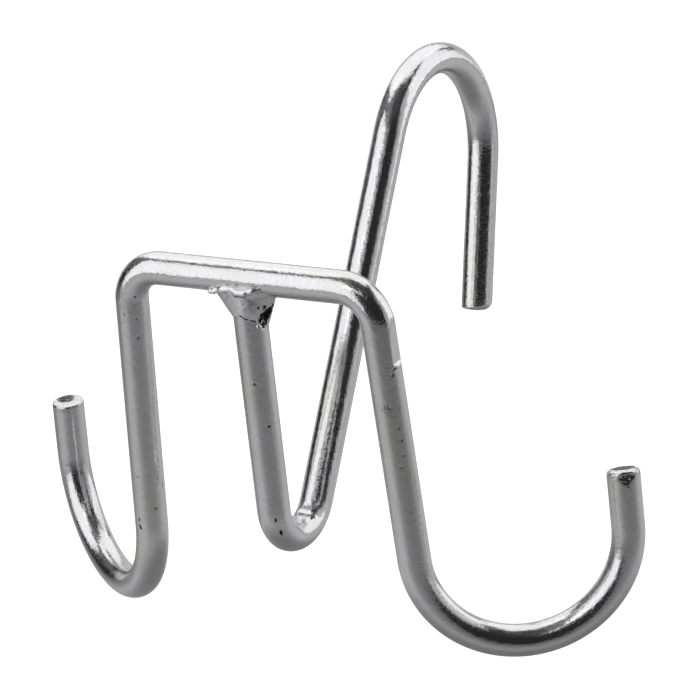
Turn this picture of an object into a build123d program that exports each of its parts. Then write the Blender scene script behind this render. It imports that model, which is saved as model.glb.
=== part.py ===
from build123d import *
from math import atan2, degrees
import os

# Double rail hook, bent from two round steel rods and welded.
#
# One rod is the double hook: a level crossbar, two corners, two legs and two
# J-shaped side hooks that swing out and back. The other is the hanger: a
# front leg welded under the middle of the crossbar, a tight heel, a long stem
# that leans back, and an arch that goes over a rail.
#
# Frame: X along the crossbar and the rail, +Y to the back, +Z up, and the
# origin in the middle of the arch, where the rail's own axis lies.
# Millimetres and degrees. Every radius is that of the rod's centre line.

# The rod
rod_diameter = 8.0

# Double hook rod
crossbar_straight = 48.4  # between the two corners
corner_radius = 9.0
corner_turn = 87.0  # a little under square, so the legs splay as they go down
leg_straight = 59.0
hook_radius = 25.4
hook_turn = 178.0
hook_swing = 35.0  # how far each side hook is turned back from straight out
arm_straight = 13.6

# Hanger rod
front_leg_setback = -1.2  # the front leg's line, from the crossbar's line
front_leg_drop = 58.6  # from the crossbar's line to the start of the heel
heel_radius = 10.8
heel_turn = 145.0
stem_straight = 92.0
arch_radius = 26.5
arch_turn = 161.0
tip_straight = 38.6

# Cut ends: the side hooks are sheared off square, and each rim is broken
right_shear_angle = 12.0
left_shear_angle = -5.0
arm_end_chamfer = 0.9
tip_end_chamfer = 0.6

# Mark that the bending pin pressed across the inside of the stem, by the heel
pin_mark_radius = 2.5
pin_mark_depth = 0.4
pin_mark_rise = 1.8  # up the stem from the end of the heel

# Weld between the front leg and the crossbar
bead_left_reach = 11.0  # along the crossbar, from the front leg's line
bead_right_reach = 6.8
bead_drop = 6.4  # below the crossbar's underside
bead_toe = 0.45  # thickness of the weld where it ends on the front leg
bead_lap = 1.8  # how far it laps up the crossbar's sides
bead_cover = 0.5  # weld metal over the front leg's top edge
bead_belly = 6.2  # radius that its front and back bulge to
crater_radius = 1.5  # the hollow that the arc left on the bead's right flank
crater_depth = 0.9

rod_radius = rod_diameter / 2


def feed(frame, length):
    """Push the rod straight out of its frame: the solid, and the frame at its end."""
    return frame * extrude(Circle(rod_radius), length), frame * Pos(0, 0, length)


def bend(frame, radius, turn):
    """Bend the rod towards its frame's +X: the solid, and the frame at its end."""
    solid = revolve(Circle(rod_radius), Axis((radius, 0, 0), (0, 1, 0)), turn)
    return frame * solid, frame * Pos(radius, 0, 0) * Rot(0, turn, 0) * Pos(-radius, 0, 0)


def cut_end(frame, length, shear_angle, chamfer_size):
    """A last straight run, sheared off at an angle, with its rim broken."""
    run = extrude(Circle(rod_radius), 2 * length)
    cut = Plane(Pos(0, 0, length) * Rot(shear_angle, 0, 0))
    run = split(run, cut, keep=Keep.BOTTOM)
    rim = run.faces().sort_by(Axis.Z)[-1].edges()
    return frame * chamfer(rim, chamfer_size)


# ---- Double hook rod: the right half, from the middle of the crossbar ----
# The frame's +Z is the rod's heading and its +X the side it bends to.
heading_right = Location(Plane((0, 0, 0), x_dir=(0, 0, -1), z_dir=(1, 0, 0)))
half_crossbar, frame = feed(heading_right, crossbar_straight / 2)
corner, frame = bend(frame, corner_radius, corner_turn)
leg, frame = feed(frame, leg_straight)
side_hook, arm_frame = bend(frame * Rot(0, 0, 180 - hook_swing), hook_radius, hook_turn)
half_rod = half_crossbar + corner + leg + side_hook
right_arm = cut_end(arm_frame, arm_straight, right_shear_angle, arm_end_chamfer)
left_arm = cut_end(arm_frame, arm_straight, left_shear_angle, arm_end_chamfer)
double_hook_rod = half_rod + right_arm + mirror(half_rod + left_arm, about=Plane.YZ)

# ---- Hanger rod, from the weld down, round the heel, up the stem and over ----
# The front leg starts a little under the weld's top edge, coped to the crossbar.
bead_top = -rod_radius + bead_lap
front_leg_top = bead_top - bead_cover
heading_down = Location(
    Plane((0, front_leg_setback, front_leg_top), x_dir=(0, 1, 0), z_dir=(0, 0, -1))
)
front_leg, frame = feed(heading_down, front_leg_drop + front_leg_top)
heel, stem_frame = bend(frame, heel_radius, heel_turn)
stem, frame = feed(stem_frame, stem_straight)
pin_mark_x = rod_radius + pin_mark_radius - pin_mark_depth
pin_mark = stem_frame * Pos(pin_mark_x, 0, pin_mark_rise) * Rot(90, 0, 0) * Cylinder(
    pin_mark_radius, rod_diameter
)
arch_frame = frame * Rot(0, 0, 180)
arch_centre = (arch_frame * Pos(arch_radius, 0, 0)).position
arch, frame = bend(arch_frame, arch_radius, arch_turn)
tip = cut_end(frame, tip_straight, 0, tip_end_chamfer)
crossbar_core = Pos(0, 0, 0) * Rot(0, 90, 0) * Cylinder(rod_radius, crossbar_straight)
hanger_rod = (front_leg + heel + stem + arch + tip) - crossbar_core - pin_mark

# ---- Weld bead: a flare of weld metal round the front leg, wider to the left ----
# It is a cone that leans to the left, cut to a round belly along the crossbar.
bead_bottom = -rod_radius - bead_drop
bead_height = bead_top - bead_bottom
toe_radius = rod_radius + bead_toe
mouth_radius = (bead_left_reach + bead_right_reach) / 2
mouth_centre = (bead_right_reach - bead_left_reach) / 2
lean = degrees(atan2(-mouth_centre, bead_height))
flare = Pos(0, front_leg_setback, bead_bottom) * Rot(0, -lean, 0) * Cone(
    toe_radius, mouth_radius, bead_height, align=(Align.CENTER, Align.CENTER, Align.MIN)
)
belly_height = (bead_top + bead_bottom) / 2
belly = Pos(mouth_centre, front_leg_setback / 2, belly_height) * Rot(0, 90, 0) * Cylinder(
    bead_belly, 4 * mouth_radius
)
bead = split(flare & belly, Plane((0, 0, bead_top)), keep=Keep.BOTTOM)
crater_x = (toe_radius + bead_right_reach) / 2 + crater_radius - crater_depth
bead -= Pos(crater_x, -toe_radius / 2, belly_height) * Sphere(crater_radius)
weld_bead = bead - crossbar_core - front_leg

# ---- Place the rail's axis at the origin and write the parts ----
to_rail_frame = Pos(0, -arch_centre.Y, -arch_centre.Z)
parts = {
    "double_hook_rod": double_hook_rod,
    "hanger_rod": hanger_rod,
    "weld_bead": weld_bead,
}
os.makedirs("parts", exist_ok=True)
for name, part in parts.items():
    export_step(to_rail_frame * part, f"parts/{name}.step")

size = (to_rail_frame * Compound(children=list(parts.values()))).bounding_box().size
print(f"overall {size.X:.1f} x {size.Y:.1f} x {size.Z:.1f} mm")
print(f"clear inside the arch {2 * (arch_radius - rod_radius):.1f} mm")
print(f"clear inside each side hook {2 * (hook_radius - rod_radius):.1f} mm")
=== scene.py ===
# %% [markdown]
# # A welded double rail hook
#
# The real object is a piece of shop hardware: two round steel rods, bent cold on a wire bender, welded
# together under the middle of a crossbar and then zinc plated. One rod is the double hook, the other is
# the S-shaped hanger that goes over a rail. This script dresses the packed CAD model with finished
# surfaces: bent and marked rods, a real weld bead, bright plating, and a small studio for the light.
#
# The CAD model is the frame. It fixes every size and place, so we load it first and note its box.

# %% Load the frame
import math

import bpy
import numpy as np
from mathutils import Matrix, Vector, noise


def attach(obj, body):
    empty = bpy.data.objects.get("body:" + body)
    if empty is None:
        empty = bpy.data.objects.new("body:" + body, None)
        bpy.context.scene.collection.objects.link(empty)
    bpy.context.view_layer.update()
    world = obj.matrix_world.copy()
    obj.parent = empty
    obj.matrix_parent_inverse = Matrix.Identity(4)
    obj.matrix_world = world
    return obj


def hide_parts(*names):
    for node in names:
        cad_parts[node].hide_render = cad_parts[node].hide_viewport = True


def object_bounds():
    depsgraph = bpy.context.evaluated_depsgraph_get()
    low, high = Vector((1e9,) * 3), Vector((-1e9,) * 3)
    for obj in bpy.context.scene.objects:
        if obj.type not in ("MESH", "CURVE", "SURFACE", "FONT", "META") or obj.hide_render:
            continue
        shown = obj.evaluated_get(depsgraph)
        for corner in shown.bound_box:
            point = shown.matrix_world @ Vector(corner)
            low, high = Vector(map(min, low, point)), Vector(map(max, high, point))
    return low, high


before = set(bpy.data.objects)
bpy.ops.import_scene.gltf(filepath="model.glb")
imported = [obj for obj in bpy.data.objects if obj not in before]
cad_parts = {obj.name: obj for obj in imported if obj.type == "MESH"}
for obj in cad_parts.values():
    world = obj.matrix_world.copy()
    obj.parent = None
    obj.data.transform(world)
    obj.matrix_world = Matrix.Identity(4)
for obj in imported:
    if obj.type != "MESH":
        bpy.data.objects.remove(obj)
cad_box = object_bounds()
MM = 0.001
print("frame nodes:", sorted(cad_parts))
print("CAD box, mm:", [[round(c / MM, 1) for c in corner] for corner in cad_box])

# %% [markdown]
# ## Node boards
#
# Shader and geometry trees are both wiring diagrams. Wiring Math nodes by hand is slow to read, so one
# small class wraps a socket and lets Python operators add the Math nodes: `1 - mask` is one Subtract
# node. Every other node comes from a single method that takes its type, settings and sockets.

# %% Signals and boards
class Signal:
    """A node's output that can be used in arithmetic. Each operator adds one Math node."""

    def __init__(self, board, socket):
        self.board, self.socket = board, socket

    def math(self, operation, *values, **settings):
        settings["operation"] = operation
        return self.board.node("ShaderNodeMath", settings, dict(enumerate(values)))

    def __add__(self, other):
        return self.math("ADD", self, other)

    def __sub__(self, other):
        return self.math("SUBTRACT", self, other)

    def __mul__(self, other):
        return self.math("MULTIPLY", self, other)

    def __truediv__(self, other):
        return self.math("DIVIDE", self, other)

    def __rsub__(self, other):
        return self.math("SUBTRACT", other, self)

    def __rtruediv__(self, other):
        return self.math("DIVIDE", other, self)

    __radd__ = __add__
    __rmul__ = __mul__


class Board:
    """A node tree with one method that adds any node."""

    def __init__(self, tree):
        self.tree = tree

    def node(self, kind, settings=None, sockets=None, out=0):
        made = self.tree.nodes.new(kind)
        for name, value in (settings or {}).items():
            if name == "stops":
                while len(made.color_ramp.elements) < len(value):
                    made.color_ramp.elements.new(0.5)
                for stop, (position, shade) in zip(made.color_ramp.elements, value):
                    stop.position, stop.color = position, shade
            else:
                setattr(made, name, value)
        for key, value in (sockets or {}).items():
            self.plug(made.inputs[key], value)
        return Signal(self, made.outputs[out])

    def plug(self, socket, value):
        if isinstance(value, Signal):
            self.tree.links.new(value.socket, socket)
        else:
            socket.default_value = value

    def vector_math(self, operation, *values, out=0):
        settings = {"operation": operation}
        return self.node("ShaderNodeVectorMath", settings, dict(enumerate(values)), out)

    def measure(self, operation, *values):
        """Vector maths whose answer is one number: a length, a distance or a dot product."""
        return self.vector_math(operation, *values, out=1)

    def mix_colour(self, share, low, high):
        return self.node("ShaderNodeMix", {"data_type": "RGBA"}, {0: share, 6: low, 7: high}, 2)

    def ramp(self, value, low, high):
        """0 where value is at low, 1 at high, with a soft start and end."""
        sockets = {0: value, 1: low, 2: high}
        return self.node("ShaderNodeMapRange", {"interpolation_type": "SMOOTHSTEP"}, sockets)


def grey(level):
    return (level, level, level, 1.0)


print("a board can:", [name for name in vars(Board) if name[0] != "_"])

# %% [markdown]
# ## Camera
#
# The hook is seen from its front right and a little above, through a long lens: far away and narrow, as
# catalogue views are, so the rods stay nearly parallel. The camera is also rolled a few degrees,
# which leans the whole object. It is described by what a person at the tripod would set: the point
# aimed at, the distance, two angles, the roll and the lens.

# %% Camera
AIM = Vector((22.1, -88.0, -13.2)) * MM
CAMERA_DISTANCE = 803.4 * MM
CAMERA_AZIMUTH = math.radians(31.11)
CAMERA_ELEVATION = math.radians(21.98)
CAMERA_ROLL = math.radians(-6.24)

camera_data = bpy.data.cameras.new("studio_camera")
camera = bpy.data.objects.new("studio_camera", camera_data)
bpy.context.scene.collection.objects.link(camera)
camera_data.sensor_width = 36.0
camera_data.lens = 178.86
camera_data.clip_start, camera_data.clip_end = 0.01, 50.0


def outward(azimuth, elevation):
    """The direction from the object towards something seen at these angles. 0, 0 is straight in front."""
    flat = math.cos(elevation)
    return Vector((math.sin(azimuth) * flat, -math.cos(azimuth) * flat, math.sin(elevation)))


towards_camera = outward(CAMERA_AZIMUTH, CAMERA_ELEVATION)
level = towards_camera.to_track_quat("Z", "Y")
camera.matrix_world = (
    Matrix.Translation(AIM + towards_camera * CAMERA_DISTANCE)
    @ level.to_matrix().to_4x4()
    @ Matrix.Rotation(CAMERA_ROLL, 4, "Z")
)
bpy.context.scene.camera = camera
print("camera at, mm:", [round(c / MM, 1) for c in camera.matrix_world.translation])

# %% [markdown]
# ## Studio
#
# Bright metal has hardly any colour of its own: it shows the room. So the room is what is designed.
# Large white panels give the broad white stripes, and the unlit gaps between them give the black ones.
# A grey floor below gives the calm grey of the legs. To the lens itself the floor and the room are
# white: that light is switched on for camera rays alone, so it adds nothing to the object.
#
# A real studio floor isn't lit evenly. It is bright where the lamps stand, dark right under the object
# and dark again far behind it. The metal shows all of that, so the floor also gives off a faint light
# that only glossy rays see, and that is weaker towards the front right, where no lamp stands.

# %% Room and floor
scene = bpy.context.scene
scene.view_settings.view_transform = "Standard"

world = bpy.data.worlds.new("studio_room")
scene.world = world
world.use_nodes = True
world.node_tree.nodes.clear()
room = Board(world.node_tree)
ROOM_GLOW = 0.022
seen_by_lens = room.node("ShaderNodeLightPath", out="Is Camera Ray")
glow = room.node("ShaderNodeBackground", None, {"Color": grey(1.0), "Strength": ROOM_GLOW})
backdrop = room.node("ShaderNodeBackground", None, {"Color": grey(1.0), "Strength": 1.0})
either = room.node("ShaderNodeMixShader", None, {0: seen_by_lens, 1: glow, 2: backdrop})
world_output = world.node_tree.nodes.new("ShaderNodeOutputWorld")
room.plug(world_output.inputs["Surface"], either)

FLOOR_DROP = 330 * MM
FLOOR_HALF = 3.0  # metres
FLOOR_PAINT = 0.34
FLOOR_LENS_GLOW = 0.975
FLOOR_METAL_GLOW = 0.105
LAMP_SIDE_GLOW = 0.175  # added on the lamps' side
DIM_SIDE = (0.77, -0.64, 0.0)  # towards the front right
UNDER_OBJECT = (0.42, 0.72)  # metres from the frame's origin: dark, and fully lit
LAMP_SIDE = (0.75, 0.2)  # metres towards the dim side: out of the lamps' light, and in it
FAR_BEHIND = (-0.8, -0.3)
floor_height = cad_box[0].z - FLOOR_DROP
floor_mesh = bpy.data.meshes.new("floor")
corners = [(-1, -1), (1, -1), (1, 1), (-1, 1)]
floor_points = [(x * FLOOR_HALF, y * FLOOR_HALF, floor_height) for x, y in corners]
floor_mesh.from_pydata(floor_points, [], [(0, 1, 2, 3)])
floor = bpy.data.objects.new("floor", floor_mesh)
scene.collection.objects.link(floor)

paint = bpy.data.materials.new("floor_paint")
paint.use_nodes = True
paint.node_tree.nodes.clear()
coat = Board(paint.node_tree)
seen_by_lens = coat.node("ShaderNodeLightPath", out="Is Camera Ray")
seen_in_metal = coat.node("ShaderNodeLightPath", out="Is Glossy Ray")
place = coat.node("ShaderNodeTexCoord", out="Object")
to_dim_side = coat.measure("DOT_PRODUCT", place, DIM_SIDE)
near_lamps = coat.ramp(to_dim_side, *LAMP_SIDE) * coat.ramp(to_dim_side, *FAR_BEHIND)
from_object = coat.measure("LENGTH", place)
metal_glow = seen_in_metal * coat.ramp(from_object, *UNDER_OBJECT)
metal_glow = metal_glow * (FLOOR_METAL_GLOW + LAMP_SIDE_GLOW * near_lamps)
matt = coat.node("ShaderNodeBsdfDiffuse", None, {"Color": grey(FLOOR_PAINT)})
strength = seen_by_lens * FLOOR_LENS_GLOW + metal_glow
lit = coat.node("ShaderNodeEmission", None, {"Color": grey(1.0), "Strength": strength})
both = coat.node("ShaderNodeAddShader", None, {0: matt, 1: lit})
paint_output = paint.node_tree.nodes.new("ShaderNodeOutputMaterial")
coat.plug(paint_output.inputs["Surface"], both)
floor_mesh.materials.append(paint)
print("floor at, mm:", round(floor_height / MM, 1))

# %% [markdown]
# Each white panel is an area lamp. What counts is where it stands as the object sees it, how wide and
# tall it looks from there, and how bright its face is. The table holds just those, and the lamp's size
# and power are worked out from them.

# %% White panels
PANELS = {  # azimuth, elevation, width, height in degrees, brightness of the face, metres away
    "front_left_panel": (-34, 23, 60, 64, 1.15, 1.1),
    "front_top_strip": (9, 42.5, 32, 8, 0.95, 1.1),
    "back_right_panel": (141, 17, 46, 54, 1.08, 1.3),
    "back_right_skirt": (108, 13, 26, 56, 0.46, 1.3),
    "back_left_skirt": (-151, -2, 94, 28, 0.54, 1.2),
    "overhead_panel": (-152, 51, 68, 70, 1.15, 1.1),
    "left_fill": (-96, 36, 22, 44, 0.13, 1.3),
    "ceiling_left": (-60, 72, 60, 26, 0.13, 1.3),
    "ceiling_right": (40, 66, 50, 34, 0.04, 1.3),
}
middle = (cad_box[0] + cad_box[1]) / 2
for name, (azimuth, elevation, width, height, brightness, distance) in PANELS.items():
    lamp_data = bpy.data.lights.new(name, "AREA")
    lamp_data.shape = "RECTANGLE"
    lamp_data.size = 2 * distance * math.tan(math.radians(width / 2))
    lamp_data.size_y = 2 * distance * math.tan(math.radians(height / 2))
    lamp_data.energy = brightness * math.pi * lamp_data.size * lamp_data.size_y
    lamp = bpy.data.objects.new(name, lamp_data)
    scene.collection.objects.link(lamp)
    direction = outward(math.radians(azimuth), math.radians(elevation))
    lamp.location = middle + direction * distance
    lamp.rotation_mode = "QUATERNION"
    lamp.rotation_quaternion = direction.to_track_quat("Z", "Y")
    lamp.visible_camera = False
    print(name, "power, W:", round(lamp_data.energy, 2))

# %% [markdown]
# ## Plated steel
#
# The rod is hot-rolled wire, drawn, bent and zinc plated. Plating is bright, but not a mirror: the
# drawing die leaves fine lines along the rod, pickling leaves a pebbled skin a few tenths of a
# millimetre across, and there are pits and scratches. The pattern has to follow the rod round its
# bends. Each point therefore carries `drawn`, where it was on the straight rod before bending, in
# millimetres, and every texture reads that instead of a place in space.

# %% Finish for the rods
def new_finish(name):
    """A material with nothing but a metal shader, and the board to wire it on."""
    material = bpy.data.materials.new(name)
    material.use_nodes = True
    board = Board(material.node_tree)
    shader = material.node_tree.nodes["Principled BSDF"]
    shader.inputs["Metallic"].default_value = 1.0
    return material, board, shader


ZINC_BRIGHT = (0.765, 0.765, 0.79, 1.0)
ZINC_WARM = (0.73, 0.725, 0.71, 1.0)
ZINC_DULL = (0.69, 0.69, 0.71, 1.0)
TORN_AND_SHADE_STEEL = (0.035, 0.034, 0.038, 1.0)
# The weld's dark: its crater and pinholes, and painted shade in the crease and under the lip.
DARK_SPOT_AND_SHADE_STEEL = (0.07, 0.068, 0.07, 1.0)


def plated_rod():
    material, board, shader = new_finish("plated_rod")
    drawn = board.node("ShaderNodeAttribute", {"attribute_name": "drawn"}, out="Vector")
    worn = board.node("ShaderNodeAttribute", {"attribute_name": "worn"}, out="Fac")

    def speckle(scale, stretch, detail=0.0, rough=0.5):
        """Noise in lumps 1/scale mm across and stretch times as long."""
        squeezed = board.vector_math("MULTIPLY", drawn, (1.0, 1.0, 1.0 / stretch))
        sockets = {"Vector": squeezed, "Scale": scale, "Detail": detail, "Roughness": rough}
        return board.node("ShaderNodeTexNoise", None, sockets)

    pebble = speckle(0.8, 1.5)
    grain = speckle(2.4, 1.3, 0.6)
    nodules = board.ramp(speckle(3.0, 1.2), 0.54, 0.70)
    die_lines = speckle(1.5, 30.0, 1.5)
    cloud = speckle(0.16, 2.0, 2.0)
    # Besides torn plating, this also paints the hanger's pin mark step dark: painted shade.
    torn = board.ramp(worn + 0.7 * grain + 0.2 * nodules, 0.72, 1.15)

    tint = board.mix_colour(board.ramp(cloud, 0.35, 0.65), ZINC_BRIGHT, ZINC_WARM)
    tint = board.mix_colour(board.ramp(speckle(1.9, 1.4, 2.0), 0.45, 0.75), tint, ZINC_DULL)
    board.plug(shader.inputs["Base Color"], board.mix_colour(torn, tint, TORN_AND_SHADE_STEEL))
    roughness = 0.095 + 0.10 * grain + 0.05 * cloud + 0.12 * worn + 0.2 * torn
    board.plug(shader.inputs["Roughness"], roughness)
    relief = pebble * 40.0 + grain * 28.0 + nodules * 11.0 + die_lines * 5.0 - torn * 20.0
    bump = {"Strength": 1.0, "Distance": 1e-6, "Height": relief}  # heights in thousandths of a mm
    board.plug(shader.inputs["Normal"], board.node("ShaderNodeBump", None, bump))
    return material


rod_finish = plated_rod()
print("rod finish nodes:", len(rod_finish.node_tree.nodes))

# %% [markdown]
# The weld was never drawn through a die: it froze from liquid steel. Its skin has soft ripples and
# grains in every direction alike, so its textures read plain object coordinates. It took the plating
# less evenly and is a little duller.

# %% Finish for the weld
def plated_weld():
    material, board, shader = new_finish("plated_weld")
    place = board.node("ShaderNodeTexCoord", out="Object")
    in_mm = board.vector_math("MULTIPLY", place, (1000.0, 1000.0, 1000.0))

    def lumps(scale, detail=2.0):
        return board.node("ShaderNodeTexNoise", None, {"Vector": in_mm, "Scale": scale, "Detail": detail})

    ripples, grain = lumps(1.1, 0.0), lumps(3.2, 1.0)
    tint = board.mix_colour(board.ramp(lumps(0.35), 0.4, 0.6), ZINC_BRIGHT, (0.80, 0.80, 0.81, 1.0))
    # The weld is darker in the crater and pinholes, and gets painted shade in the crease and under the lip.
    burnt = board.node("ShaderNodeAttribute", {"attribute_name": "burnt"}, out="Fac")
    crater_dark_and_shade = board.ramp(burnt * (0.5 + grain), 0.35, 0.8)
    board.plug(shader.inputs["Base Color"], board.mix_colour(crater_dark_and_shade, tint, DARK_SPOT_AND_SHADE_STEEL))
    board.plug(shader.inputs["Roughness"], 0.24 + 0.12 * grain + 0.2 * crater_dark_and_shade)
    bump = {"Strength": 1.0, "Distance": 1e-6, "Height": ripples * 45.0 + grain * 18.0}
    board.plug(shader.inputs["Normal"], board.node("ShaderNodeBump", None, bump))
    return material


weld_finish = plated_weld()
print("weld finish nodes:", len(weld_finish.node_tree.nodes))

# %% [markdown]
# ## A wire bender in Geometry Nodes
#
# A workshop starts with a straight, cut rod and bends it at marked places. The node group below does
# one such bend. `Start` is the mark, measured from the middle of the straight rod towards one `Side`.
# Points short of the mark stay. Points on the arc turn about the bending pin by their own share of the
# turn, and everything past it swings round as one. Chaining the group from the far end inwards gives
# the whole rod, with its section true all the way. A sweep along a curve could give the same tube, but
# marks made on the straight rod would not ride through the bends as they do here.

# %% One bend
BEND_INPUTS = ["Side", "Start", "Radius", "Turn", "Roll", "Flatten"]


def add_input(tree, name, kind="NodeSocketFloat"):
    return tree.interface.new_socket(name, in_out="INPUT", socket_type=kind)


def wire_bend_group():
    """The node group for one bend, with its sizes in metres and its turns in radians."""
    tree = bpy.data.node_groups.new("wire_bend", "GeometryNodeTree")
    add_input(tree, "Geometry", "NodeSocketGeometry")
    for name in BEND_INPUTS:
        add_input(tree, name)
    tree.interface.new_socket("Geometry", in_out="OUTPUT", socket_type="NodeSocketGeometry")
    board = Board(tree)
    entry = tree.nodes.new("NodeGroupInput")
    side, start, radius, turn, roll, flatten = (Signal(board, entry.outputs[n]) for n in BEND_INPUTS)

    named = {"data_type": "FLOAT_VECTOR"}
    drawn = board.node("GeometryNodeInputNamedAttribute", named, {"Name": "drawn"})
    along = board.node("ShaderNodeSeparateXYZ", None, {0: drawn}, "Z") * MM
    angle = board.node("ShaderNodeClamp", None, {0: (side * along - start) / radius, 1: 0.0, 2: turn})

    cosine, sine = roll.math("COSINE", roll), roll.math("SINE", roll)
    inwards = board.node("ShaderNodeCombineXYZ", None, {0: cosine, 1: sine, 2: 0.0})
    axis = board.node("ShaderNodeCombineXYZ", None, {0: side * sine * -1.0, 1: side * cosine, 2: 0.0})
    pin = board.node(
        "ShaderNodeCombineXYZ", None, {0: radius * cosine, 1: radius * sine, 2: side * start}
    )
    place = board.node("GeometryNodeInputPosition")
    share = angle / turn
    squeeze = flatten * share * (1 - share) * -4.0
    push = board.measure("DOT_PRODUCT", place, inwards) * squeeze
    push_in = board.node("ShaderNodeCombineXYZ", None, {0: push, 1: push, 2: push})
    flattened = board.vector_math("MULTIPLY_ADD", inwards, push_in, place)
    drawn_in = board.node("ShaderNodeCombineXYZ", None, {0: 0.0, 1: 0.0, 2: side * radius * angle})
    pulled = board.vector_math("SUBTRACT", flattened, drawn_in)
    turned = board.node(
        "ShaderNodeVectorRotate", {"rotation_type": "AXIS_ANGLE"},
        {"Vector": pulled, "Center": pin, "Axis": axis, "Angle": angle},
    )
    moved = board.node(
        "GeometryNodeSetPosition", None,
        {"Geometry": Signal(board, entry.outputs["Geometry"]), "Position": turned},
    )
    leave = tree.nodes.new("NodeGroupOutput")
    tree.links.new(moved.socket, leave.inputs[0])
    return tree


wire_bend = wire_bend_group()
print("wire_bend nodes:", len(wire_bend.nodes))

# %% [markdown]
# The bender tree strings the bends together, and each named bend brings its own inputs. A bend may be
# made on one side of the rod's middle, or on both sides alike.

# %% The bender tree, and how a rod is run through it
SETTINGS = ["start", "radius", "turn", "roll"]
FLATTEN = 0.02  # a bend flattens the rod by this share at its middle


def bender_tree(name, bends):
    """One wire_bend for each bend and side, the last bend first, and then the finish."""
    tree = bpy.data.node_groups.new(name, "GeometryNodeTree")
    add_input(tree, "Geometry", "NodeSocketGeometry")
    add_input(tree, "flatten")
    for bend in bends:
        for setting in SETTINGS:
            add_input(tree, f"{bend['name']} {setting}")
    tree.interface.new_socket("Geometry", in_out="OUTPUT", socket_type="NodeSocketGeometry")
    board = Board(tree)
    entry = tree.nodes.new("NodeGroupInput")
    geometry = Signal(board, entry.outputs["Geometry"])
    for bend in reversed(bends):
        for side in bend["sides"]:
            sockets = {"Geometry": geometry, "Side": float(side)}
            sockets["Flatten"] = Signal(board, entry.outputs["flatten"])
            for setting in SETTINGS:
                sockets[setting.title()] = Signal(board, entry.outputs[f"{bend['name']} {setting}"])
            geometry = board.node("GeometryNodeGroup", {"node_tree": wire_bend}, sockets)
    solid = board.node("GeometryNodeRealizeInstances", None, {0: geometry})
    painted = board.node("GeometryNodeSetMaterial", None, {"Geometry": solid, "Material": rod_finish})
    leave = tree.nodes.new("NodeGroupOutput")
    tree.links.new(painted.socket, leave.inputs[0])
    return tree


def run_through_bender(name, straight, bends, to_frame):
    """Bend a straight rod's mesh, and set the result down in the frame as a plain mesh."""
    tree = bender_tree(name + "_bender", bends)
    values = {"flatten": FLATTEN}
    for bend in bends:
        values.update({f"{bend['name']} {s}": bend[s] for s in SETTINGS})
    work = bpy.data.objects.new(name + "_work", straight)
    scene.collection.objects.link(work)
    modifier = work.modifiers.new("bender", "NODES")
    modifier.node_group = tree
    for item in tree.interface.items_tree:
        if item.in_out == "INPUT" and item.name in values:
            modifier[item.identifier] = float(values[item.name])
    evaluated = work.evaluated_get(bpy.context.evaluated_depsgraph_get())
    mesh = bpy.data.meshes.new_from_object(evaluated)
    work.modifiers.remove(modifier)
    bpy.data.objects.remove(work)
    mesh.transform(to_frame)
    mesh.name = name
    piece = bpy.data.objects.new(name, mesh)
    scene.collection.objects.link(piece)
    print(name, "bent and placed:", len(mesh.polygons), "faces")
    return piece


print("a bend's settings:", SETTINGS)

# %% [markdown]
# ## The straight rod
#
# Before bending, a rod is a cylinder with two cut ends. It is built ring by ring: rings are set close
# together where there is a mark to show, and further apart elsewhere. A `wear` function then says how
# far the surface stands off the true cylinder at each point, and each end has its own cut: a plane that
# may lean, a broken rim and a rough face.

# %% Building a straight rod
ROD_RADIUS = 4.0
SIDES = 88
RING_SPACING = 0.5
FINE_SPACING = 0.14


def smooth(value, low, high):
    """0 below low, 1 above high, with a soft step between."""
    t = np.clip((value - low) / (high - low), 0.0, 1.0)
    return t * t * (3.0 - 2.0 * t)


def ring_places(start, end, fine_zones):
    """Where the rings go along the rod: fine in the zones, coarse elsewhere."""
    places, here = [], start
    while here < end:
        places.append(here)
        fine = any(low <= here <= high for low, high in fine_zones)
        here += FINE_SPACING if fine else RING_SPACING
    return np.array(places)


def speckled(points, size, seed):
    """Smooth noise from -1 to 1 at each point, in lumps of about this size."""
    shift = Vector((seed * 7.3, seed * 3.1, seed * 5.7))
    return np.array([noise.noise(Vector(p) / size + shift) for p in points])


FACE_RINGS = 8
CLEAR = 2.8  # the last stretch before a cut, where square rings turn into leaning ones
CLEAR_RINGS = 13


def cut_end(at, bevel, facing, least, lean=0, lean_heading=0.0):
    """A cut at this place. The bevel is full on the side it faces and least opposite. The face may lean."""
    return {"at": at, "bevel": bevel, "facing": math.radians(facing), "least": least,
            "lean": math.radians(lean), "lean_heading": lean_heading}


def slope_across(end, x, y):
    """How far the cut leans out at a point of the section."""
    heading = end["lean_heading"]
    return math.tan(end["lean"]) * (math.cos(heading) * x + math.sin(heading) * y)


def end_rings(end, side, angles):
    """Rings over the broken rim of a cut end and in to the middle of its face."""
    cosine, sine = np.cos(angles), np.sin(angles)
    fullness = end["least"] + (1 - end["least"]) * (0.5 + 0.5 * np.cos(angles - end["facing"]))
    lean = slope_across(end, cosine * ROD_RADIUS, sine * ROD_RADIUS)
    wall = np.full(len(angles), ROD_RADIUS)
    made = []
    for k in range(1, CLEAR_RINGS + 1):
        share = k / CLEAR_RINGS
        reach = (CLEAR - end["bevel"][0][1] * fullness) * share
        made.append((side * (end["at"] * side - CLEAR + reach + lean * share), wall))
    steps = end["bevel"][1:]
    last = end["bevel"][-1][0]
    radii = [(ROD_RADIUS - inset * fullness, back * fullness) for inset, back in steps]
    radii += [((ROD_RADIUS - last * fullness) * (1 - k / FACE_RINGS), 0.0) for k in range(1, FACE_RINGS)]
    for radius, back in radii:
        flat = end["at"] * side + slope_across(end, cosine * radius, sine * radius)
        made.append((side * (flat - back), radius))
    return made


print("a ring every", RING_SPACING, "mm, and every", FINE_SPACING, "mm at a mark")

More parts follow.
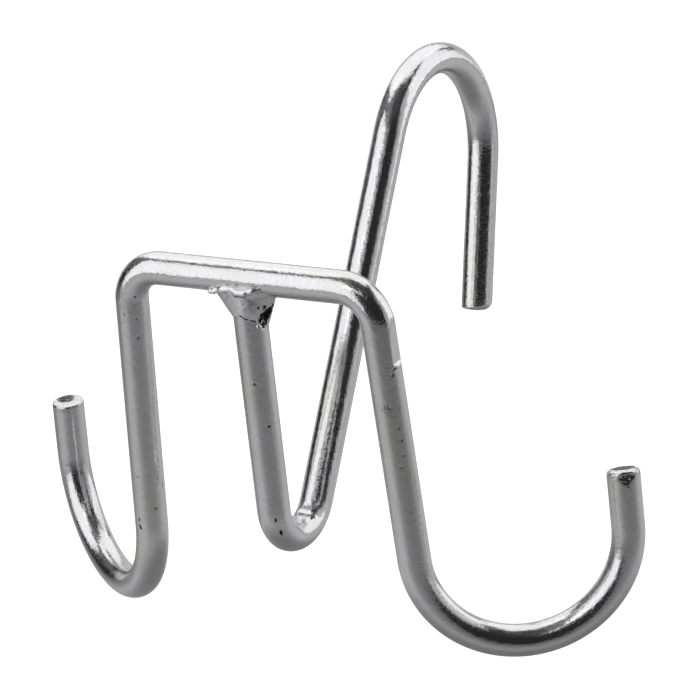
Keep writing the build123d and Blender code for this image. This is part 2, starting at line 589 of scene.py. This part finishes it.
# %% [markdown]
# The rings are stacked into one closed mesh: quads between them and a fan of triangles at each end. The
# mesh keeps two things with every point: `drawn`, its place on the clean straight rod, and how far the
# plating is torn there, which on the hanger also holds painted shade in the pin mark's step.

# %% The straight rod's mesh
def store(mesh, label, kind, field, values):
    """Keep a value with every point of a mesh, for its material to read."""
    stored = mesh.attributes.new(label, kind, "POINT")
    stored.data.foreach_set(field, values.astype(np.float32).ravel())


def smooth_faces(mesh):
    """Shade every face as part of a curved skin."""
    mesh.polygons.foreach_set("use_smooth", np.ones(len(mesh.polygons), bool))
    mesh.update()


def straight_rod(name, low_end, high_end, fine_zones, wear):
    """A rod along Z, in millimetres until its points are handed over, with both ends cut and its wear."""
    angles = np.arange(SIDES) * 2 * math.pi / SIDES
    walls = ring_places(low_end["at"] + CLEAR, high_end["at"] - CLEAR, fine_zones)
    rings = end_rings(low_end, -1, angles)[::-1]
    rings += [(np.full(SIDES, z), np.full(SIDES, ROD_RADIUS)) for z in walls]
    rings += end_rings(high_end, 1, angles)
    z = np.array([ring[0] for ring in rings])
    radius = np.array([ring[1] for ring in rings])
    grid = np.stack([radius * np.cos(angles), radius * np.sin(angles), z], -1).reshape(-1, 3)
    drawn = np.vstack([grid, [(0.0, 0.0, low_end["at"]), (0.0, 0.0, high_end["at"])]])
    points, worn = wear(drawn)

    count = len(rings)
    low_tip, high_tip = count * SIDES, count * SIDES + 1
    k = np.arange(count - 1)[:, None] * SIDES
    j, after = np.arange(SIDES)[None, :], (np.arange(SIDES)[None, :] + 1) % SIDES
    quads = np.stack([k + j, k + after, k + SIDES + after, k + SIDES + j], -1).reshape(-1, 4).tolist()
    last = (count - 1) * SIDES
    caps = [(low_tip, int(b), int(a)) for a, b in zip(j[0], after[0])]
    caps += [(high_tip, int(last + a), int(last + b)) for a, b in zip(j[0], after[0])]
    mesh = bpy.data.meshes.new(name)
    mesh.from_pydata((points * MM).tolist(), [], quads + caps)
    store(mesh, "drawn", "FLOAT_VECTOR", "vector", drawn)
    store(mesh, "worn", "FLOAT", "value", worn)
    smooth_faces(mesh)
    print(name, "straight rod:", len(points), "points,", count, "rings")
    return mesh


# %% [markdown]
# ## Wear and marks
#
# The same small tools mark both rods: a slow unevenness from the rolling mill, a torn and crumbled look
# near a sheared end, and scuffs. A scuff is given as its place along the rod, the way it faces on the
# section, its half length and half width, how far it tears the plating, and how deep it is pressed.

# %% Tools that mark a rod
def press(points, push):
    """Move each point in towards the rod's centre line."""
    away = np.maximum(np.hypot(points[:, 0], points[:, 1]), 0.1)
    out = np.array(points)
    out[:, :2] -= points[:, :2] / away[:, None] * np.asarray(push)[..., None]
    return out


WAVE_DEPTH, WAVE_ACROSS, WAVE_STRETCH = 0.026, 3.4, 6.25


def uneven(points, seed):
    """The slight, long waves that hot rolling leaves."""
    swell = WAVE_DEPTH * speckled(points * (1, 1, 1 / WAVE_STRETCH), WAVE_ACROSS, seed)
    return press(points, np.maximum(0.0, 0.016 - swell))


def crumbled(points, end_at, seed, amount=1.0):
    """A sheared end is torn, not polished: shift its last millimetre about."""
    near_end = smooth(np.abs(points[:, 2]), abs(end_at) - 2.2, abs(end_at) - 0.9)
    near_end = amount * near_end * (points[:, 2] * end_at > 0)
    coarse, fine = speckled(points, 1.1, seed), speckled(points, 0.5, seed + 1)
    out = np.array(points)
    out[:, 2] -= math.copysign(1.0, end_at) * near_end * (0.10 * (1 + coarse) + 0.05 * fine)
    return press(out, near_end * (0.05 + 0.07 * fine + 0.05 * coarse))


def scuffed(points, worn, scuffs):
    """Press and tear the rod at each scuff."""
    turn_here = np.arctan2(points[:, 1], points[:, 0])
    out, worn = np.array(points), np.array(worn)
    for at, facing, length, width, torn, depth in scuffs:
        turn = (turn_here - math.radians(facing) + math.pi) % (2 * math.pi) - math.pi
        away = np.hypot((points[:, 2] - at) / length, turn * ROD_RADIUS / width)
        inside = 1.0 - smooth(away, 0.55, 1.15)
        worn = np.maximum(worn, torn * inside)
        out = press(out, depth * inside)
    return out, worn


print("the mill's waves, mm:", WAVE_DEPTH, "deep,", WAVE_ACROSS * WAVE_STRETCH, "long")

# %% [markdown]
# ## The double hook
#
# Marks are measured from the middle of the crossbar. The rod turns down at each corner, a little short
# of square, and then each leg runs into a side hook, which is bent in a plane swung back from the
# corner's. Both ends were cropped in a shear, which leaves a leaning face.

# %% Double hook: sizes and bends
CROSSBAR_HALF = 24.2
CORNER_RADIUS, CORNER_TURN = 9.0, math.radians(87)
LEG = 59.0
HOOK_RADIUS, HOOK_TURN = 25.4, math.radians(178)
HOOK_ROLL = math.radians(145)
ARM = 13.6
hook_start = CROSSBAR_HALF + CORNER_RADIUS * CORNER_TURN + LEG
double_end = hook_start + HOOK_RADIUS * HOOK_TURN + ARM
DOUBLE_BENDS = [
    {"name": "corner", "sides": (1, -1), "start": CROSSBAR_HALF * MM, "radius": CORNER_RADIUS * MM,
     "turn": CORNER_TURN, "roll": 0.0},
    {"name": "hook", "sides": (1, -1), "start": hook_start * MM, "radius": HOOK_RADIUS * MM,
     "turn": HOOK_TURN, "roll": HOOK_ROLL},
]
print("half the double hook's rod, mm:", round(double_end, 1))

# %% [markdown]
# On the right, the bending former's end has bitten a step into the outside of the rod, just past the
# corner. Handling has left pits and scuffs on both legs, and a dent in the right end's rim. The cut
# faces are dark and blotched where the shear tore the steel, and their rims are broken unevenly.

# %% Double hook: its marks and its cut ends
STOP_MARK = CROSSBAR_HALF + CORNER_RADIUS * CORNER_TURN + 9.6  # the former's end bit in here
STOP_FACING = math.radians(178)
STOP_PRESS = [(-13.0, 0.0), (-7.0, 0.40), (-0.75, 0.50), (0.0, 0.0)]  # along the rod, depth
RIGHT_END, LEFT_END = double_end + 1.1, -double_end - 0.1
DOUBLE_SCUFFS = [  # along, facing, half length, half width, torn, depth
    (-35.1, -49, 0.6, 0.45, 0.62, 0.08), (-38.0, -49, 0.4, 0.35, 0.55, 0.06),
    (-39.5, -90, 4.0, 0.8, 0.4, 0.0), (-41.4, -48, 0.4, 0.35, 0.55, 0.06),
    (-46.3, -48, 0.5, 0.4, 0.6, 0.08), (-83.2, -94, 0.5, 0.4, 0.62, 0.08),
    (-84.0, -22, 0.4, 0.35, 0.55, 0.05), (-86.3, 2, 0.9, 0.4, 0.6, 0.08),
    (-91.5, -37, 0.4, 0.4, 0.6, 0.08), (-94.5, -103, 0.9, 0.5, 0.62, 0.08),
    (-96.7, -101, 0.9, 0.6, 0.66, 0.1), (47.8, 203, 0.3, 1.0, 0.8, 0.1),
    (48.9, 215, 0.5, 0.4, 0.55, 0.08), (56.9, 252, 1.2, 1.8, 0.46, 0.03),
    (62.1, 222, 0.4, 0.35, 0.5, 0.05), (65.1, 218, 0.4, 0.35, 0.55, 0.06),
    (68.8, 218, 0.4, 0.35, 0.5, 0.05), (71.5, 235, 0.4, 0.35, 0.5, 0.05),
    (83.0, 227, 0.35, 0.3, 0.5, 0.05), (RIGHT_END - 0.9, 241, 0.9, 2.1, 0.66, 0.35),
    (RIGHT_END - 1.9, 235, 1.0, 1.1, 0.62, 0.22), (RIGHT_END - 3.1, 239, 0.5, 0.5, 0.45, 0.08),
]
LEFT_PATCH = (1.35, -0.75)  # the middle of the torn patch on the left face


def double_wear(points):
    """The double hook's rod as it is before bending, and how far its plating is torn."""
    x, y, z = points.T
    out, worn = scuffed(uneven(points, 1), np.zeros(len(z)), DOUBLE_SCUFFS)
    along, depth = np.array(STOP_PRESS).T
    facing = np.array((math.cos(STOP_FACING), math.sin(STOP_FACING)))
    stands = out[:, :2] @ facing
    pressed = ROD_RADIUS - np.interp(z - STOP_MARK, along, depth, 0.0, 0.0)
    out[:, :2] -= np.maximum(0.0, stands - pressed)[:, None] * facing
    out = crumbled(crumbled(out, RIGHT_END, 11), LEFT_END, 21, 0.3)

    blotch = speckled(points, 0.8, 41)
    off_patch = np.hypot(x - LEFT_PATCH[0], y - LEFT_PATCH[1]) + 0.7 * blotch
    on_left_face = (0.74 + 0.2 * blotch) * (z < LEFT_END + 0.5) * (1.0 - smooth(off_patch, 1.9, 2.9))
    on_right_face = 0.72 * (z > RIGHT_END - 0.9) * (1.0 - smooth(np.hypot(x, y), 2.4, 3.4))
    dulled = 0.3 * (np.abs(z) > double_end - 1.0)
    return out, np.maximum.reduce([worn, on_left_face, on_right_face, dulled])


ARM_BEVEL = [  # inset, setback, from the wall over the rim to the face
    (0.0, 1.6), (0.05, 1.3), (0.2, 0.98), (0.5, 0.68), (0.66, 0.6), (1.1, 0.3), (1.5, 0.1), (1.75, 0.0)
]
SHARP_BEVEL = [(0.0, 0.6), (0.03, 0.4), (0.1, 0.22), (0.22, 0.09), (0.4, 0.02), (0.6, 0.0)]
across_hook = HOOK_ROLL + math.pi / 2
left_cut = cut_end(LEFT_END, SHARP_BEVEL, 169, 0.45, -3, across_hook)
right_cut = cut_end(RIGHT_END, ARM_BEVEL, 231, 0.45, 15, across_hook)
double_zones = [(at - 1.2, at + 1.2) for at, _, length, *_ in DOUBLE_SCUFFS if length < 2]
double_zones.append((STOP_MARK - 1.5, STOP_MARK + 1.0))
double_straight = straight_rod("double_rod", left_cut, right_cut, double_zones, double_wear)

# %% [markdown]
# The frame's origin is the rail's axis, in the middle of the hanger's arch. Walking the hanger's lengths
# from the crossbar to there says where the crossbar lies: down the front leg, round the heel, up the
# stem and across to the arch's middle.

# %% The hanger's lengths, and where the crossbar lies
SETBACK = -1.2  # the front leg's centre line, in front of the crossbar's
LEG_TOP = -2.7  # where the front leg's line starts, under the crossbar's
FRONT_LEG = 58.6 + LEG_TOP
HEEL_RADIUS, HEEL_TURN = 10.8, math.radians(145)
STEM = 92.0
ARCH_RADIUS, ARCH_TURN = 26.5, math.radians(161)
TIP = 38.6
heel_centre = np.array((SETBACK + HEEL_RADIUS, LEG_TOP - FRONT_LEG))  # Y and Z, from the crossbar
up_stem = np.array((math.sin(HEEL_TURN), -math.cos(HEEL_TURN)))
across_stem = np.array((-math.cos(HEEL_TURN), -math.sin(HEEL_TURN)))
arch_centre = heel_centre + (HEEL_RADIUS + ARCH_RADIUS) * across_stem + STEM * up_stem
CROSSBAR_Y, CROSSBAR_Z = (-arch_centre).tolist()
print("crossbar's centre line at, mm:", round(CROSSBAR_Y, 2), round(CROSSBAR_Z, 2))

# %% [markdown]
# The straight rod lies along Z and bends towards its own +X. On the frame it runs along X, through the
# crossbar, and bends down.

# %% Double hook: bend it and set it on the frame
double_place = Matrix(
    ((0, 0, 1, 0), (0, 1, 0, CROSSBAR_Y * MM), (-1, 0, 0, CROSSBAR_Z * MM), (0, 0, 0, 1))
)
double_hook = run_through_bender("double_hook", double_straight, DOUBLE_BENDS, double_place)

# %% [markdown]
# ## The weld
#
# A fillet weld is a blob of steel that froze while it was being pushed about. It flares from the leg up
# to the crossbar, wider to the left, where the arc was drawn out. Along the crossbar it ends in a
# rolled, molten lip. The front is swollen into a dome, and where the arc was pulled away, on the right,
# it left a crater and some pinholes. Such a shape has undercuts, so it is described as a field: every
# point in space gets its distance from the metal, negative inside. Swellings are added to the field and
# hollows carved from it, each with its own softness. Metaballs work like this too, but they can't carve.

# %% Shapes as distances
def bar_between(p, a, b, radius_a, radius_b):
    """A rounded bar from a to b that tapers."""
    a, b = np.array(a, float), np.array(b, float)
    share = np.clip(((p - a) @ (b - a)) / ((b - a) @ (b - a)), 0.0, 1.0)
    gap = np.linalg.norm(p - (a + share[..., None] * (b - a)), axis=-1)
    return gap - (radius_a + share * (radius_b - radius_a))


def merge(one, other, softness):
    """Both shapes run together, with a fillet about as wide as the softness."""
    h = np.clip(0.5 + 0.5 * (other - one) / softness, 0.0, 1.0)
    return other + (one - other) * h - softness * h * (1.0 - h)


def carve(one, hollow, softness):
    """One shape less the other, with a rounded edge."""
    return -merge(-one, hollow, softness)


print("2 mm over a thick bar:", bar_between(np.array([(0, 0, 2)]), (-1, 0, 0), (1, 0, 0), 1, 1))

# %% [markdown]
# Sizes of the weld are in millimetres from the crossbar's centre line: X to the right along the bar, Y
# to the back and Z up. The flare is a cone round the front leg whose reach depends on the direction, and
# the lip is a chain of tapering bars that lie along the crossbar's lower front.

# %% The weld's field
FLARE_LOW, FLARE_TOP = -9.4, -3.0  # where the flare leaves the leg, and its widest level
FRONT_RISE, RIGHT_LOW = 1.4, -12.3
LEFT_REACH, RIGHT_REACH, FRONT_REACH, BACK_REACH = 9.4, 8.1, 4.3, 4.9
DOME_TURN, DOME_WIDTH, DOME_RISE = -1.2, 0.8, 0.4
LAP_TOP, LAP_SLOPE = -0.9, 4.0  # how high the weld laps up the crossbar, and how fast it thickens
LIP = [  # from, to, radius at each
    ((-8.2, -4.1, -2.35), (-7.3, -4.3, -2.2), 0.85, 0.72),
    ((-6.8, -4.35, -2.0), (-4.6, -4.5, -1.5), 0.72, 0.9),
    ((-4.6, -4.5, -1.5), (-1.9, -4.6, -1.4), 0.9, 0.8),
    ((-0.6, -4.9, -2.0), (1.4, -5.0, -1.6), 1.0, 0.88),
    ((1.4, -4.95, -1.6), (3.2, -4.7, -1.1), 0.86, 0.7),
    ((3.2, -4.7, -1.1), (5.0, -4.05, -0.95), 0.7, 0.3),
    ((-8.6, 1.6, -4.3), (-5.0, 3.4, -3.2), 0.75, 0.85),
    ((-4.6, 3.9, -2.6), (3.8, 3.9, -2.2), 0.8, 0.6),
]
LIP_FACING = np.array([0.0, -0.906, 0.423])  # the way the lip's flat side is turned
LIP_THINNER = 1.5
CRATER = [
    ((6.35, -1.5, -6.0), (5.2, -2.3, -7.8), 0.4, 1.35),
    ((5.2, -2.3, -7.8), (4.5, -2.6, -9.6), 1.35, 1.25),
    ((4.5, -2.6, -9.6), (4.2, -2.2, -11.3), 1.1, 0.6),
]
CREASE = [
    ((-0.2, -5.5, -7.6), (1.2, -5.6, -8.1), 0.12, 0.26),
    ((1.2, -5.6, -8.1), (2.2, -5.3, -8.5), 0.2, 0.16),
    ((2.2, -5.3, -8.5), (3.1, -4.2, -9.2), 0.3, 0.2),
]
DROPS = [
    ((3.4, -3.6, -9.9), (3.3, -3.5, -10.6), 0.42, 0.56),
    ((4.3, -2.9, -9.2), (4.0, -3.0, -10.0), 0.2, 0.26),
    ((4.8, -3.4, -6.4), (6.3, -1.9, -5.6), 0.14, 0.22),
]
PINHOLES = [((4.0, -3.7, -5.6), 0.40), ((5.4, -3.1, -5.6), 0.36)]
WELD_TOP, WELD_BOTTOM = -0.3, -12.9
POURED = (1.1, 0.1)  # the waves in the crease and the drops: size and depth


def wobble(p, size, depth):
    """The points shifted about by slow waves, so that what is drawn at them looks poured, not turned."""
    x, y, z = p[..., 0] / size, p[..., 1] / size, p[..., 2] / size
    shift = [
        np.sin(2.1 * y + 1.3 * z + 0.5) + 0.5 * np.sin(4.3 * z - 2.9 * x),
        np.sin(1.7 * x + 2.3 * z + 2.1) + 0.5 * np.sin(3.7 * x + 3.1 * y + 1.0),
        np.sin(2.6 * x - 1.4 * y + 4.0) + 0.5 * np.sin(5.1 * x + 2.2 * z),
    ]
    return p + depth * np.stack(shift, -1)


def chain_of(p, bars, softness):
    """Tapered bars run together."""
    chain = bar_between(p, *bars[0])
    for place in bars[1:]:
        chain = merge(chain, bar_between(p, *place), softness)
    return chain


def crater_field(p):
    return chain_of(wobble(p, 0.75, 0.2), CRATER, 0.2)


def crease_field(p):
    return chain_of(wobble(p, *POURED), CREASE, 0.1)


def drop_fields(p):
    return [bar_between(wobble(p, *POURED), *drop) for drop in DROPS]


def to_pinhole(p, at):
    return np.linalg.norm(p - np.array(at), axis=-1)


def thinned(p):
    """Stretch space along the way the lip faces, so that round bars come out as ribbons."""
    out = (LIP_THINNER - 1) * (p @ LIP_FACING)
    return p + out[..., None] * LIP_FACING


def lip_field(p):
    """The rolled lip: ribbons in a chain, a little shifted about."""
    bars = [(thinned(np.array(a)), thinned(np.array(b)), low, high) for a, b, low, high in LIP]
    return chain_of(thinned(wobble(p, 4.0, 0.12)), bars, 0.8) / LIP_THINNER


print("weld:", len(LIP), "bars in the lip,", len(DROPS), "drops and", len(PINHOLES), "pinholes")

# %% [markdown]
# The body of the weld is a stack of level outlines. Each is close to a circle down at the leg, and a
# pointed oval up along the crossbar, and every side stands upright or overhangs, as sagging metal does.
# Where it laps onto the crossbar, a second rule stops it close to the bar's own skin.

# %% The weld's body, and the whole weld
def body_field(p):
    """The flare round the front leg. A turn of 0 is the right, and one of -pi / 2 the front."""
    x, y, z = p[..., 0], p[..., 1] - SETBACK, p[..., 2]
    away, turn = np.hypot(x, y), np.arctan2(y, x)

    # The lowest level of the metal: it runs far down on the right, and stops early at the front.
    to_right = smooth(turn, -0.75, 0.35) * (1.0 - smooth(turn, 1.8, 2.8))
    low = FLARE_LOW + (RIGHT_LOW - FLARE_LOW) * to_right
    low = low + FRONT_RISE * np.exp(-(((turn + 1.8) / 0.6) ** 2))
    climb = np.clip((z - low) / (FLARE_TOP - low), 0.0, 1.15)

    # The level outline, from a circle hidden just inside the leg to a pointed oval.
    inside_leg = ROD_RADIUS - 0.12
    across = np.where(x < 0, LEFT_REACH, RIGHT_REACH) - inside_leg
    outwards = np.where(y < 0, FRONT_REACH, BACK_REACH) - inside_leg
    wide = inside_leg + across * climb
    deep = inside_leg + outwards * climb ** 0.5
    power = 2.0 - 0.6 * np.clip(climb, 0, 1)
    along_bar, off_bar = np.hypot(np.cos(turn), 0.15), np.hypot(np.sin(turn), 0.05)
    reach = ((along_bar / wide) ** power + (off_bar / deep) ** power) ** (-1.0 / power)

    # The dome on the front, and the skin that laps up the crossbar.
    swell = np.exp(-(((turn - DOME_TURN) / DOME_WIDTH) ** 2)) * smooth(z, low - 0.2, low + 0.25)
    reach = reach + DOME_RISE * swell * (1.0 - 0.6 * smooth(z, -7.5, -3.5))
    toe = np.hypot(p[..., 1], z) - ROD_RADIUS - LAP_SLOPE * (LAP_TOP - z)
    return carve((away - reach) * 0.8, -0.4 * toe, 0.3)


def weld_field(p):
    """The body and the lip, less the crater, the crease and the pinholes, with the drops on top."""
    z = p[..., 2]
    field = merge(body_field(p), lip_field(p), 0.12)
    field = carve(field, crater_field(p), 0.2)
    field = carve(field, crease_field(p), 0.1)
    for at, radius in PINHOLES:
        field = carve(field, to_pinhole(p, at) - radius, 0.08)
    for drop in drop_fields(p):
        field = merge(field, drop, 0.15)
    return np.maximum(np.maximum(field, z - WELD_TOP), WELD_BOTTOM - z)


def crater_dark_and_shade(p):
    """Darker in the crater and the pinholes, and painted shade in the crease and along the line under the
    lip.
    """
    x, y, z = p[..., 0], p[..., 1], p[..., 2]
    hollows = smooth(-crater_field(p), -0.3, 0.05)
    hollows = hollows * smooth(np.minimum.reduce(drop_fields(p)), 0.05, 0.25)
    # Painted shade along the line under the lip's front, and in the crease below the toe.
    shade_under_lip = smooth(-np.abs(lip_field(p)) - np.abs(body_field(p)), -0.42, -0.12)
    shade_under_lip = 0.65 * shade_under_lip * smooth(-z, 2.1, 2.6) * (y < 0) * (1.0 - smooth(x, 1.6, 2.6))
    crease = smooth(-crease_field(p), -0.2, 0.05)
    holes = [smooth(radius * 1.25 - to_pinhole(p, at), -0.1, 0.1) for at, radius in PINHOLES]
    return np.clip(np.maximum.reduce([hollows, shade_under_lip, crease] + holes), 0.0, 1.0)


print("the field in the leg's middle:", weld_field(np.array([(0, SETBACK, FLARE_TOP)])).round(2))

# %% [markdown]
# ## The hanger
#
# The second rod starts inside the weld, drops as the front leg, turns back up round a tight heel, and
# runs up as the stem into the arch that sits on the rail. The arch bends the other way from the heel.

# %% Hanger: its bends
stem_start = FRONT_LEG + HEEL_RADIUS * HEEL_TURN
arch_start = stem_start + STEM
hanger_end = arch_start + ARCH_RADIUS * ARCH_TURN + TIP
HANGER_BENDS = [
    {"name": "heel", "sides": (1,), "start": FRONT_LEG * MM, "radius": HEEL_RADIUS * MM,
     "turn": HEEL_TURN, "roll": 0.0},
    {"name": "arch", "sides": (1,), "start": arch_start * MM, "radius": ARCH_RADIUS * MM,
     "turn": ARCH_TURN, "roll": math.pi},
]
print("the hanger's rod, mm:", round(hanger_end, 1))

# %% [markdown]
# Late in the heel, the bending pin has pressed a flat and a notch across the rod's inside. A few scuffs
# lie on the front leg, and at its top the weld's crater has bitten into it. That end is hidden inside
# the weld, so only the tip needs a real cut end, with a broad and uneven bevel.

# %% Hanger: its marks and its cut ends
PIN_MARK = stem_start - 7.0
PIN_PRESS = [(-3.0, 0.0), (-0.6, 0.95), (0.0, 0.5), (6.0, 0.0)]  # up the rod, depth
HANGER_SCUFFS = [  # along, facing, half length, half width, torn, depth
    (PIN_MARK - 0.9, 40, 1.1, 0.5, 0.75, 0.25),
    (60.0, 139, 0.8, 0.45, 1.0, 0.12), (56.8, 145, 0.5, 0.4, 1.0, 0.1),
    (22.0, 160, 0.4, 0.35, 0.9, 0.08), (33.0, 128, 0.4, 0.4, 0.9, 0.08),
]
DEEPEST_BITE = 1.2
LEG_END, TIP_END = 3.4, hanger_end + 1.25
TOP_BEVEL = [(0.0, 0.3), (0.3, 0.0)]
TIP_BEVEL = [(0.0, 1.7), (0.1, 1.4), (0.45, 0.85), (0.7, 0.5), (0.95, 0.25), (1.25, 0.07), (1.45, 0.0)]


def hanger_wear_and_shade(points):
    """The hanger's rod as it is before bending, how far its plating is torn, and painted shade in the pin
    mark's step.
    """
    x, y, z = points.T
    out, worn = scuffed(uneven(points, 2), np.zeros(len(z)), HANGER_SCUFFS)
    up, depth = np.array(PIN_PRESS).T
    out[:, 0] = np.minimum(out[:, 0], ROD_RADIUS - np.interp(z - PIN_MARK, up, depth, 0.0, 0.0))
    at_weld = np.stack([y, x + SETBACK, LEG_TOP - z], -1)
    bitten = np.clip(-crater_field(at_weld), 0.0, DEEPEST_BITE)
    # The step at the edge of the pin's flat is painted dark: painted shade, not torn plating.
    shaded_step = 0.66 * np.exp(-(((z - PIN_MARK + 0.3) / 0.4) ** 2)) * (x > 2.9)
    worn = np.maximum.reduce([worn, smooth(bitten, 0.0, 0.25), shaded_step])
    return crumbled(press(out, bitten), TIP_END, 31, 0.6), worn


top_cut = cut_end(LEG_END, TOP_BEVEL, 0, 1.0)
tip_cut = cut_end(TIP_END, TIP_BEVEL, 60, 0.3)
hanger_zones = [(5, 9), (PIN_MARK - 5, PIN_MARK + 2)]  # the crater's edge and the pin mark
hanger_zones += [(at - 1, at + 1) for at, *_ in HANGER_SCUFFS]
hanger_straight = straight_rod("hanger_rod_straight", top_cut, tip_cut, hanger_zones, hanger_wear_and_shade)

# %% [markdown]
# The second rod is turned over, so that it runs down from the weld, and its own +X becomes the frame's
# +Y, the way the heel bends.

# %% Hanger: bend it and set it on the frame
leg_y, leg_z = (CROSSBAR_Y + SETBACK) * MM, (CROSSBAR_Z + LEG_TOP) * MM
hanger_place = Matrix(((0, 1, 0, 0), (1, 0, 0, leg_y), (0, 0, -1, leg_z), (0, 0, 0, 1)))
hanger = run_through_bender("hanger", hanger_straight, HANGER_BENDS, hanger_place)

# %% [markdown]
# ## Skinning the weld
#
# To turn the field into a mesh, space is cut into small cubes. Each cube that the surface passes through
# gets one point, the average of where the surface crosses its edges, and each crossed edge joins the
# four cubes round it with a face. This is the "surface nets" method. It always gives a closed skin. A
# ball is a good trial: a closed skin of four-sided faces round it has two faces fewer than points.

# %% Skinning a field
def skin(field, corner, step):
    """The points and faces of the surface where the field, sampled on a grid, changes its sign."""
    solid = field < 0
    cubes = tuple(n - 1 for n in field.shape)
    total, count = np.zeros(cubes + (3,)), np.zeros(cubes)
    grid = np.stack(np.meshgrid(*[np.arange(n) for n in cubes], indexing="ij"), -1).astype(float)

    # One point for each cube, from the crossings on its twelve edges.
    for axis in range(3):
        others = [k for k in range(3) if k != axis]
        for first in (0, 1):
            for second in (0, 1):
                near = [0, 0, 0]
                near[others[0]], near[others[1]] = first, second
                far = list(near)
                far[axis] = 1
                at = [tuple(slice(o, o + n) for o, n in zip(end, cubes)) for end in (near, far)]
                crossed = solid[at[0]] != solid[at[1]]
                low, high = field[at[0]][crossed], field[at[1]][crossed]
                point = grid[crossed] + np.array(near, float)
                point[:, axis] += low / (low - high)
                total[crossed] += point
                count[crossed] += 1
    used = count > 0
    points = np.array(corner) + step * total[used] / count[used][:, None]
    number = np.full(cubes, -1)
    number[used] = np.arange(len(points))

    # One face for each crossed edge of the grid, from the four cubes round it.
    faces = []
    for axis in range(3):
        a, b = [k for k in range(3) if k != axis]
        begin = [slice(1, n) for n in cubes]
        begin[axis] = slice(0, cubes[axis])
        end = list(begin)
        end[axis] = slice(1, cubes[axis] + 1)
        near, far = solid[tuple(begin)], solid[tuple(end)]
        around = []
        for back_a, back_b in ((1, 1), (0, 1), (0, 0), (1, 0)):
            piece = list(begin)
            piece[a] = slice(1 - back_a, cubes[a] - back_a)
            piece[b] = slice(1 - back_b, cubes[b] - back_b)
            around.append(number[tuple(piece)])
        ring = np.stack(around, -1)
        flip = axis == 1  # X then Z turns the other way round Y
        for chosen, turned in ((near & ~far, flip), (~near & far, not flip)):
            quads = ring[chosen]
            faces.append(quads[:, ::-1] if turned else quads)
    return points, np.vstack(faces)


def grid_of(low_corner, high_corner, step):
    """Every place in a box of space, one step apart."""
    axes = [np.arange(low, high, step) for low, high in zip(low_corner, high_corner)]
    return np.stack(np.meshgrid(*axes, indexing="ij"), -1)


ball_space = grid_of([-2] * 3, [2] * 3, 0.25)
ball_points, ball_faces = skin(np.linalg.norm(ball_space, axis=-1) - 1.1, [-2] * 3, 0.25)
print("a ball's skin:", len(ball_points), "points,", len(ball_faces), "faces")

# %% [markdown]
# The weld's skin ripples a little, as metal does that freezes while it moves. Each point is shifted
# along the field's slope, which points straight out of the metal. How much darker each point is, in the
# crater and pinholes and with painted shade in the crease and under the lip, is kept with it for the weld's
# finish.

# %% The weld's mesh
WELD_STEP = 0.16
WELD_CORNER, WELD_FAR = (-11.2, -8.0, -13.4), (9.0, 6.2, 0.3)
PROBE = 0.05  # how far to each side the slope is felt
weld_space = grid_of(WELD_CORNER, WELD_FAR, WELD_STEP)
weld_points, weld_faces = skin(weld_field(weld_space), WELD_CORNER, WELD_STEP)
ripple = 0.06 * speckled(weld_points, 1.4, 3) + 0.02 * speckled(weld_points, 0.6, 4)
slope = np.stack([
    weld_field(weld_points + PROBE * way) - weld_field(weld_points - PROBE * way) for way in np.eye(3)
], -1)
slope /= np.maximum(np.linalg.norm(slope, axis=1, keepdims=True), 1e-9)
weld_points = weld_points + slope * ripple[:, None]

weld_mesh = bpy.data.meshes.new("weld")
at_crossbar = np.array([0.0, CROSSBAR_Y, CROSSBAR_Z])
weld_mesh.from_pydata(((weld_points + at_crossbar) * MM).tolist(), [], weld_faces.tolist())
smooth_faces(weld_mesh)
store(weld_mesh, "burnt", "FLOAT", "value", crater_dark_and_shade(weld_points))
weld_mesh.materials.append(weld_finish)
weld = bpy.data.objects.new("weld", weld_mesh)
scene.collection.objects.link(weld)
print("weld:", len(weld_points), "points,", len(weld_faces), "faces")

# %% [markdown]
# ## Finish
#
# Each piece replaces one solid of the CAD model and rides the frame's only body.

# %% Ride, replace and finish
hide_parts("double_hook_rod")
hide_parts("hanger_rod")
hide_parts("weld_bead")
for piece, slot in ((double_hook, "plated_rod"), (hanger, "plated_rod"), (weld, "weld_metal")):
    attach(piece, "root")
